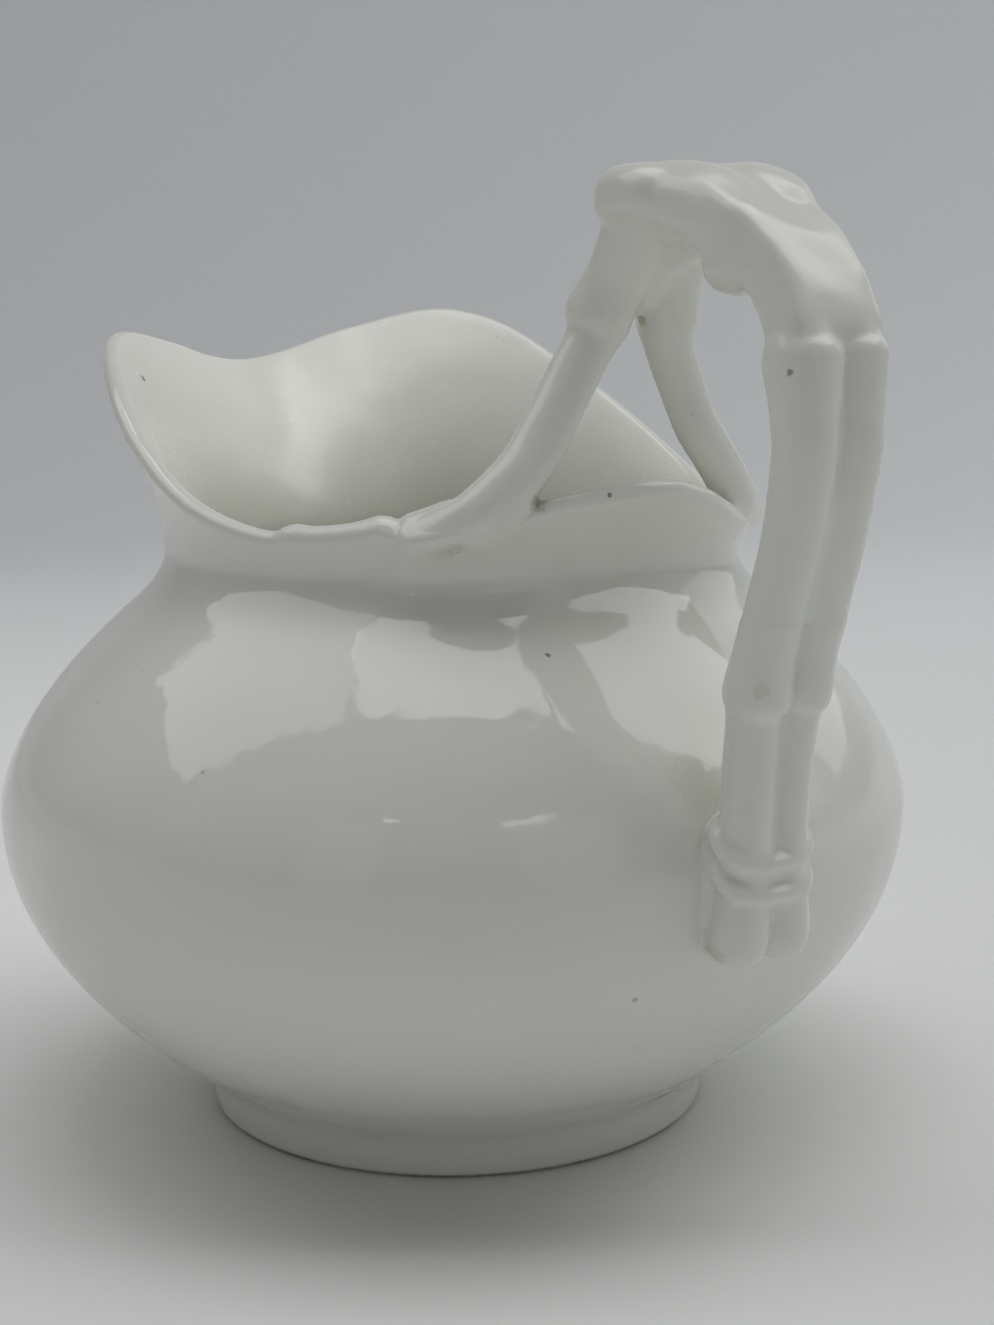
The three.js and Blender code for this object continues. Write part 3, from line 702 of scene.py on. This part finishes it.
def neighbour_mean(edges, values):
    """Mean of the values at the far ends of each point's edges: sums by point number over the degrees."""
    flat = values.reshape(len(values), -1)
    start, end = np.concatenate([edges, edges[:, ::-1]]).T
    sums = [np.bincount(start, column[end], len(flat)) for column in flat.T]
    means = np.stack(sums, axis=-1) / np.bincount(start, minlength=len(flat))[:, None]
    return means.reshape(values.shape)


points, _, edges = mesh_arrays(melted)
by_rim = np.clip((ROOT_TOP - points[:, 2:]) / ROOT_BLEND, 0, 1) * (points[:, 2:] > NECK_LEVEL)
by_crown = np.clip((points[:, 2:] - CROWN_FOOT) / CROWN_BLEND, 0, 1)
for weight in [0.5] * EVEN_ROUNDS + [0.5 * by_crown] * CROWN_ROUNDS + [0.5 * by_rim] * ROOT_ROUNDS:
    points += weight * (neighbour_mean(edges, points) - points)
move_points(melted, points)
print("softened in", EVEN_ROUNDS + CROWN_ROUNDS + ROOT_ROUNDS, "rounds")

# %% [markdown]
# Pressed clay is never even. Slow waves in random directions, added up, push the skin out and in by about
# a tenth of a millimetre, more on the crown, where the fingers worked most. A fixed seed gives the same
# waves on every run.

# %% Uneven clay
UNEVEN, UNEVEN_CROWN = 0.04, 0.08
UNEVEN_FOOT, UNEVEN_BLEND = 100, 6


def unevenness(points, longest, shortest, seed, count=24):
    """Slow waves between about -1 and 1: a sum of plane waves sin(k . p + phase) in random directions."""
    draw = np.random.default_rng(seed)
    heading = draw.normal(size=(count, 3))
    heading /= np.linalg.norm(heading, axis=1, keepdims=True)
    wave = 2 * np.pi / draw.uniform(shortest, longest, count)
    phase = draw.uniform(0, 2 * np.pi, count)
    return np.sin(points @ (heading * wave[:, None]).T + phase).sum(axis=1) / np.sqrt(count)


points, normals, _ = mesh_arrays(melted)
on_crown = np.clip((points[:, 2] - UNEVEN_FOOT) / UNEVEN_BLEND, 0, 1)
swell = (UNEVEN + UNEVEN_CROWN * on_crown) * unevenness(points, 11, 5, seed=4)
points += normals * swell[:, None]
move_points(melted, points)
melted.shade_smooth()
handle_triangles = sum(len(face.vertices) - 2 for face in melted.polygons)
print("handle:", len(melted.vertices), "points,", handle_triangles, "triangles")

# %% [markdown]
# Shader maths reads best as plain expressions, so one small class wraps a socket and adds a Math node for
# each operator. Its other method adds any node: its type, its settings, and what goes into its sockets.


# %% Sockets that can be reckoned with
class Value:
    """One output socket of a shader tree."""

    def __init__(self, tree, socket):
        self.tree, self.socket = tree, socket

    def node(self, kind, settings=None, out=0, **inputs):
        """Any node: settings are set first, then inputs by socket name (spaces as _) or as in_0, in_1."""
        made = self.tree.nodes.new(kind)
        for key, value in (settings or {}).items():
            setattr(made, key, value)
        for key, value in inputs.items():
            socket = made.inputs[int(key[3:]) if key.startswith("in_") else key.replace("_", " ")]
            if isinstance(value, Value):
                self.tree.links.new(value.socket, socket)
            else:
                socket.default_value = value
        return Value(self.tree, made.outputs[out])

    def math(self, operation, a, b=0.0, clamp=False):
        return self.node("ShaderNodeMath", {"operation": operation, "use_clamp": clamp}, in_0=a, in_1=b)

    def __add__(self, other):
        return self.math("ADD", self, other)

    def __sub__(self, other):
        return self.math("SUBTRACT", self, other)

    def __rsub__(self, other):
        return self.math("SUBTRACT", other, self)

    def __mul__(self, other):
        return self.math("MULTIPLY", self, other)

    def __truediv__(self, other):
        return self.math("DIVIDE", self, other)

    def clip(self):
        return self.math("ADD", self, 0.0, clamp=True)

    __radd__, __rmul__ = __add__, __mul__


def new_finish(name):
    """A material with its shader node and the Object coordinates to reckon with."""
    material = bpy.data.materials.new(name)
    material.use_nodes = True
    tree = material.node_tree
    shader = tree.nodes["Principled BSDF"]
    coordinates = tree.nodes.new("ShaderNodeTexCoord")
    return material, shader, Value(tree, coordinates.outputs["Object"])


def feed(shader, name, value):
    """Links a value to the shader's socket of that name."""
    value.tree.links.new(value.socket, shader.inputs[name])


def blend(share, first, second):
    """A colour between two: the first where the share is 0, the second where it is 1."""
    return share.node("ShaderNodeMix", {"data_type": "RGBA"}, out=2, in_0=share, in_6=first, in_7=second)


def noise(place, scale, detail):
    """Soft noise between 0 and 1; the scale counts its lumps along a metre."""
    return place.node("ShaderNodeTexNoise", {}, Vector=place, Scale=scale, Detail=detail)


# %% [markdown]
# Where the glaze pooled in hollows it looks a little olive. A pattern in space can't know where the
# hollows are, so the mesh brings them along, as an attribute that holds how far each point lies below its
# neighbours; inside the jug the tint also grows with depth below the mouth. A second attribute marks the
# inside of the jug, where the glaze is thicker and less shiny, and where its white is painted paler, as
# painted light.

# %% Hollows
MOUTH_LEVEL, DEEP_SPAN = 92.0, 25.0  # inside, the colour turns more olive from this level downwards
HOLLOW_GAIN, INSIDE_DEPTH_TINT = 5.0, 0.7


def mark_hollows(piece, rounds, inside=0):
    """Attributes pool and thick.

    Pool is how deep a point lies below the middle of its neighbours, evened out over some rounds. The first
    points, those inside the jug, also gain pool by their depth below the mouth, which makes them more olive
    further down. The inside attribute is 1 at those points; it dulls the glaze there and paints its white
    paler, as painted light.
    """
    points, normals, edges = mesh_arrays(piece.data)
    spacing = np.linalg.norm(points[edges[:, 0]] - points[edges[:, 1]], axis=1).mean()
    hollow = np.einsum("ij,ij->i", neighbour_mean(edges, points) - points, normals) / spacing
    for _ in range(rounds):
        hollow = (hollow + neighbour_mean(edges, hollow)) / 2
    pool = np.clip(hollow * HOLLOW_GAIN, 0, 1)
    # inside the jug the olive tint grows with depth below the mouth
    pool[:inside] += INSIDE_DEPTH_TINT * np.clip((MOUTH_LEVEL - points[:inside, 2]) / DEEP_SPAN, 0, 1)
    # painted light: this mark paints the inside of the jug a paler white, and also makes it duller
    painted_light_and_dull_inside = (np.arange(len(pool)) < inside).astype(float)
    for name, values in (("pool", pool), ("painted_light_and_dull_inside", painted_light_and_dull_inside)):
        attribute = piece.data.attributes.new(name, "FLOAT", "POINT")
        attribute.data.foreach_set("value", values.astype(np.float32))
    print(piece.name, "pool up to %.2f, mean %.3f" % (pool.max(), pool.mean()))


mark_hollows(jug_body, 3, inside=inside_rows * around.size)
mark_hollows(cane_handle, 6)

# %% [markdown]
# The glaze is a clear glass over a white clay: a slightly warm white, very glossy, and never quite flat.
# Slow waves and ripples bend the reflections, and a fine grain breaks their edges. A few stains and pits
# are placed one by one, and small specks lie everywhere. Inside the jug the white is painted paler, as
# painted light. The handle gets the same glaze, dulled by handling.

# %% White glaze
WHITE = (0.79, 0.795, 0.745, 1)
# painted light: the inside of the jug is painted a paler white than the outside, for the brighter light in
# the mouth
WHITE_INSIDE_PAINTED_LIGHT = (0.91, 0.915, 0.85, 1)
OLIVE = (0.55, 0.56, 0.42, 1)
PIT = (0.16, 0.15, 0.12, 1)
SPECK_SPACING, SPECK_RADIUS, SPECK_STRENGTH = 0.01, 0.0003, 0.6
GLOSS, GRAIN_DULLS, INSIDE_DULLS, HANDLING_DULLS = 0.04, 0.05, 0.2, 0.16
GLASS_IOR = 1.52
# x, y, z, radius in millimetres and strength
STAINS = [
    (31.9, 1.1, 104.1, 1.0, 1.1), (32.4, -14.1, 83.6, 1.1, 0.9), (26.3, -22.9, 78.4, 1.4, 0.4),
    (28.0, -21.9, 79.0, 1.2, 0.5), (49.1, -3.8, 52.7, 3.5, 0.25), (53.9, -5.9, 34.4, 1.8, 0.4),
    (60.3, -5.3, 65.0, 0.9, 0.3),
]
PITS = [
    (-37.9, -29.6, 97.1, 0.55, 0.8), (36.2, -6.7, 84.3, 0.26, 0.8), (34.8, -14.4, 66.6, 0.32, 0.8),
    (65.7, -6.7, 98.2, 0.32, 0.7), (48.7, -12.8, 29.6, 0.4, 0.4), (32.4, -14.1, 83.6, 0.6, 0.5),
]


def spots(place, marks, wobble):
    """Sum of the marks: each is its strength inside its radius and fades over half of it.

    The wobble frays the edges.
    """
    total = 0.0
    for *middle, radius, strength in marks:
        distance = place.node("ShaderNodeVectorMath", {"operation": "DISTANCE"}, out=1, in_0=place,
                              in_1=tuple(MM * x for x in middle))
        total = ((1.2 - distance / (MM * radius) + wobble) * 2.0).clip() * strength + total
    return total


def white_glaze(name, wear):
    """Warm white, painted paler inside the jug as painted light, with slow colour drift, olive pools, stains,
    pits and specks, over waves and a fine grain.

    Wear is the roughness that handling adds.
    """
    material, shader, place = new_finish(name)
    pool = place.node("ShaderNodeAttribute", {"attribute_name": "pool"}, out="Fac")
    painted_light_and_dull_inside = place.node("ShaderNodeAttribute", {"attribute_name": "painted_light_and_dull_inside"}, out="Fac")
    drift = noise(place, 38.0, 3.0)
    wobble = (noise(place, 1500.0, 2.0) - 0.5) * 1.6
    specks = place.node("ShaderNodeTexVoronoi", {}, Vector=place, Scale=1 / SPECK_SPACING)
    pitted = spots(place, PITS, wobble)
    pitted = pitted + (1.0 - specks * (SPECK_SPACING / SPECK_RADIUS)).clip() * SPECK_STRENGTH
    tint = (pool * 0.5 + (drift - 0.5) * 0.25 + spots(place, STAINS, wobble)).clip()
    # painted light: the inside of the jug is painted the paler white
    colour = blend(tint, blend(painted_light_and_dull_inside, WHITE, WHITE_INSIDE_PAINTED_LIGHT), OLIVE)
    waves, ripples, grain = noise(place, 60.0, 1.5), noise(place, 260.0, 1.0), noise(place, 700.0, 2.0)
    height = waves + ripples * 0.1 + grain * 0.008
    feed(shader, "Base Color", blend(pitted, colour, PIT))
    feed(shader, "Roughness", (GLOSS + wear) + grain * GRAIN_DULLS + painted_light_and_dull_inside * INSIDE_DULLS)
    feed(shader, "Normal", place.node("ShaderNodeBump", {}, Strength=0.4, Distance=0.0014, Height=height))
    shader.inputs["IOR"].default_value = GLASS_IOR
    return material


jug_body.data.materials.append(white_glaze("white_glaze", 0.0))
cane_handle.data.materials.append(white_glaze("handled_glaze", HANDLING_DULLS))
print("glazed with", len(STAINS), "stains and", len(PITS), "pits")

# %% [markdown]
# The standing ring was wiped clean of glaze before firing: a matt, slightly yellow clay with fine dark
# grains. Two noises are enough for it, a slow one for the stains and a fine one for the grains, which
# also roughen it.

# %% Bare clay
CLAY = (0.55, 0.52, 0.44, 1)
CLAY_DIRT = (0.22, 0.19, 0.14, 1)


def bare_clay(name):
    """Matt cream clay, stained in patches, with fine dark grains."""
    material, shader, place = new_finish(name)
    stain, grains = noise(place, 120.0, 4.0), noise(place, 2200.0, 1.0)
    dirt = ((stain - 0.45) * 2.5 + (grains - 0.6) * 2.0).clip()
    feed(shader, "Base Color", blend(dirt, CLAY, CLAY_DIRT))
    feed(shader, "Roughness", 0.7 + grains * 0.2)
    feed(shader, "Normal", place.node("ShaderNodeBump", {}, Strength=0.4, Distance=0.0002, Height=grains))
    return material


standing_ring.data.materials.append(bare_clay("bare_clay"))
print("bare clay on the standing ring")

# %% [markdown]
# Each new piece moves with the frame's only body, and stands for the solids that it covers.

# %% Ride on the frame
HANDLE_NODES = [n for n in frame["nodes"] if "cane" in n or "band" in n or n == "handle_seat"]
for piece, nodes, slot in [
    (jug_body, ["belly", "mouth", "rim_twig_left", "rim_twig_right"], "white_glaze"),
    (standing_ring, ["foot_ring"], "bare_foot"),
    (cane_handle, HANDLE_NODES, "white_glaze"),
]:
    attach(piece, "root")
    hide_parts(*nodes)
print("handle stands for", len(HANDLE_NODES), "nodes")

# %% [markdown]
# The camera stands close, at the height of the mouth and on the left of the handle, and looks slightly
# down. Its place and turn come from fitting a camera to the jug's outline. The lens is given as in that
# fit, in pixels, and becomes a focal length on Blender's sensor.

# %% Camera
CAMERA_BEARING = np.radians(33.0)  # from the handle's direction towards the left
CAMERA_HEADING = np.radians(34.3)
CAMERA_DIP = np.radians(9.22)
CAMERA_ROLL = np.radians(-0.56)
CAMERA_RANGE, CAMERA_HEIGHT = 263.4, 101.6
FOCAL_PIXELS, LONG_SIDE, SENSOR = 1980, 1325, 36.0


def standing(side, rise, back, place):
    """The matrix that turns X, Y and Z to three directions and moves the origin to a place in metres."""
    turned = np.stack([side, rise, back], axis=-1)
    return Matrix([[*row, p] for row, p in zip(turned, place)] + [[0, 0, 0, 1]])


ahead = np.array([
    -np.cos(CAMERA_HEADING) * np.cos(CAMERA_DIP), np.sin(CAMERA_HEADING) * np.cos(CAMERA_DIP),
    -np.sin(CAMERA_DIP),
])
flat_ahead = np.array([ahead[0], ahead[1], 0]) / np.hypot(ahead[0], ahead[1])
level_right = np.array([np.sin(CAMERA_HEADING), np.cos(CAMERA_HEADING), 0])
level_up = np.cross(level_right, ahead)
right = np.cos(CAMERA_ROLL) * level_right + np.sin(CAMERA_ROLL) * level_up
up = -np.sin(CAMERA_ROLL) * level_right + np.cos(CAMERA_ROLL) * level_up
camera_place = np.array([
    AXIS_X + CAMERA_RANGE * np.cos(CAMERA_BEARING), -CAMERA_RANGE * np.sin(CAMERA_BEARING), CAMERA_HEIGHT,
]) * MM
camera = bpy.data.objects.new("camera", bpy.data.cameras.new("camera"))
camera.matrix_world = standing(right, up, -ahead, camera_place)
camera.data.sensor_width = SENSOR
camera.data.lens = FOCAL_PIXELS * SENSOR / LONG_SIDE
camera.data.clip_start = 0.01
bpy.context.scene.collection.objects.link(camera)
bpy.context.scene.camera = camera
print("lens %.1f mm, %.0f mm from the axis" % (camera.data.lens, CAMERA_RANGE))

# %% [markdown]
# The studio is a wide bowl of paper, whose floor runs up into the wall without a line. It is pale under
# and behind the jug, with painted light and shade: the floor is painted lighter on the left and darker on
# the right, the far wall darker on the left and lighter on the right. The walls beside and behind the
# camera are grey, because a glossy white jug in an all-white room has nothing to reflect and looks flat.

# %% Paper bowl
BOWL_RADIUS, BOWL_HEIGHT, BOWL_CURVE, BOWL_SIDES = 1300.0, 1500.0, 500.0, 96
FLOOR_RADII = [50, 300, 600]
# painted light and shade: the floor lighter on the left and darker on the right, the far wall darker on the
# left and lighter on the right
FLOOR_LEFT_PAINTED_LIGHT, FLOOR_RIGHT_PAINTED_SHADE = (0.9, 0.905, 0.895, 1), (0.76, 0.77, 0.765, 1)
WALL_LEFT_PAINTED_SHADE, WALL_RIGHT_PAINTED_LIGHT = (0.73, 0.74, 0.75, 1), (0.87, 0.9, 0.91, 1)
WALL_GREY = (0.3, 0.3, 0.31, 1)

sweep = np.radians(np.linspace(0, 90, 14))
bowl_radius = np.concatenate([
    FLOOR_RADII, BOWL_RADIUS - BOWL_CURVE + BOWL_CURVE * np.sin(sweep), [BOWL_RADIUS],
])[:, None]
bowl_level = np.concatenate([
    np.zeros(len(FLOOR_RADII)), BOWL_CURVE - BOWL_CURVE * np.cos(sweep), [BOWL_HEIGHT],
])[:, None]
bowl_turn = np.linspace(0, 2 * np.pi, BOWL_SIDES, endpoint=False)
bowl_rings = np.stack([
    bowl_radius * np.cos(bowl_turn), bowl_radius * np.sin(bowl_turn),
    np.repeat(bowl_level, BOWL_SIDES, axis=1),
], axis=-1)
bowl_points = np.vstack([bowl_rings.reshape(-1, 3), [(0, 0, 0)]])
i, j = np.meshgrid(np.arange(len(bowl_radius) - 1) * BOWL_SIDES, np.arange(BOWL_SIDES), indexing="ij")
k = (j + 1) % BOWL_SIDES
bowl_faces = np.stack([i + BOWL_SIDES + j, i + BOWL_SIDES + k, i + k, i + j], axis=-1).reshape(-1, 4)
bowl_fan = [[n, (n + 1) % BOWL_SIDES, len(bowl_points) - 1] for n in range(BOWL_SIDES)]
bowl = mesh_piece("studio_bowl", (bowl_points, bowl_faces.tolist() + bowl_fan))


def paper_with_painted_light(name):
    """Paper with painted light and shade: floor lighter on the left, far wall lighter on the right, and grey
    on the other walls.
    """
    material, shader, place = new_finish(name)

    def along(direction):
        return place.node("ShaderNodeVectorMath", {"operation": "DOT_PRODUCT"}, out=1, in_0=place,
                          in_1=tuple(direction))

    depth, aside = along(flat_ahead), along(level_right)
    height = place.node("ShaderNodeSeparateXYZ", {}, out=2, Vector=place)
    backdrop = ((depth - 0.3) * 4.0).clip() * ((0.9 - place.math("ABSOLUTE", aside)) * 4.0).clip()
    grey = (1.0 - backdrop) * ((height - 0.06) * 15.0).clip()
    # painted light and shade across the floor and the far wall
    floor = blend((0.5 + aside * 2.5).clip(), FLOOR_LEFT_PAINTED_LIGHT, FLOOR_RIGHT_PAINTED_SHADE)
    wall = blend((0.5 + aside).clip(), WALL_LEFT_PAINTED_SHADE, WALL_RIGHT_PAINTED_LIGHT)
    pale = blend(((depth - 0.15) * 2.0).clip(), floor, wall)
    feed(shader, "Base Color", blend(grey, pale, WALL_GREY))
    shader.inputs["Roughness"].default_value = 0.9
    return material


bowl.data.materials.append(paper_with_painted_light("paper_with_painted_light"))
print("bowl:", len(bowl.data.polygons), "faces")

# %% [markdown]
# Soft light comes from large lamps above. Two faint windows beside the camera, and two short strips over
# them, add the patches that the shoulder and the belly reflect. Large lamps give soft shadows and wide
# reflections, which suit a glaze with waves; a small lamp would only leave hard dots on it.

# %% Light
LAMP_TARGET = np.array([0, 0, 0.06])  # the middle of the jug, in metres
# name, place (to the camera's right, away past the jug, up), width and height in metres, power in watts
LAMPS = [
    ("top_lamp", (0, 0.05, 1.25), (0.75, 0.75), 4.2),
    ("top_right_panel", (0.68, 0.1, 1.04), (0.8, 0.8), 3.9),
    ("top_left_panel", (-0.68, 0.1, 1.04), (0.8, 0.8), 2.6),
    ("right_panel", (0.95, 0.05, 0.5), (0.6, 0.6), 0.25),
    ("back_right_panel", (0.75, 0.6, 0.5), (0.5, 0.5), 0.5),
    ("left_window", (-0.39, -0.8, 0.36), (0.26, 0.58), 0.13),
    ("right_window", (0.45, -0.8, 0.36), (0.4, 0.58), 0.2),
    ("left_strip", (-0.22, -0.8, 0.7), (0.08, 0.03), 0.03),
    ("right_strip", (0.3, -0.8, 0.68), (0.2, 0.04), 0.06),
]


def soft_box(name, place, size, power):
    """A rectangular lamp at a place in metres that faces the jug."""
    lamp = bpy.data.lights.new(name, "AREA")
    lamp.shape = "RECTANGLE"
    lamp.size, lamp.size_y = size
    lamp.energy = power
    back = place - LAMP_TARGET
    back = back / np.linalg.norm(back)
    side = np.cross([0, 0, 1.0], back)
    side = side / np.linalg.norm(side)
    box = bpy.data.objects.new(name, lamp)
    box.matrix_world = standing(side, np.cross(back, side), back, place)
    bpy.context.scene.collection.objects.link(box)


for name, (aside, depth, height), size, power in LAMPS:
    place = level_right * aside + flat_ahead * depth + np.array([0, 0, height])
    soft_box(name, place, size, power)
bpy.context.scene.view_settings.view_transform = "Standard"
print("lamps:", len(LAMPS))
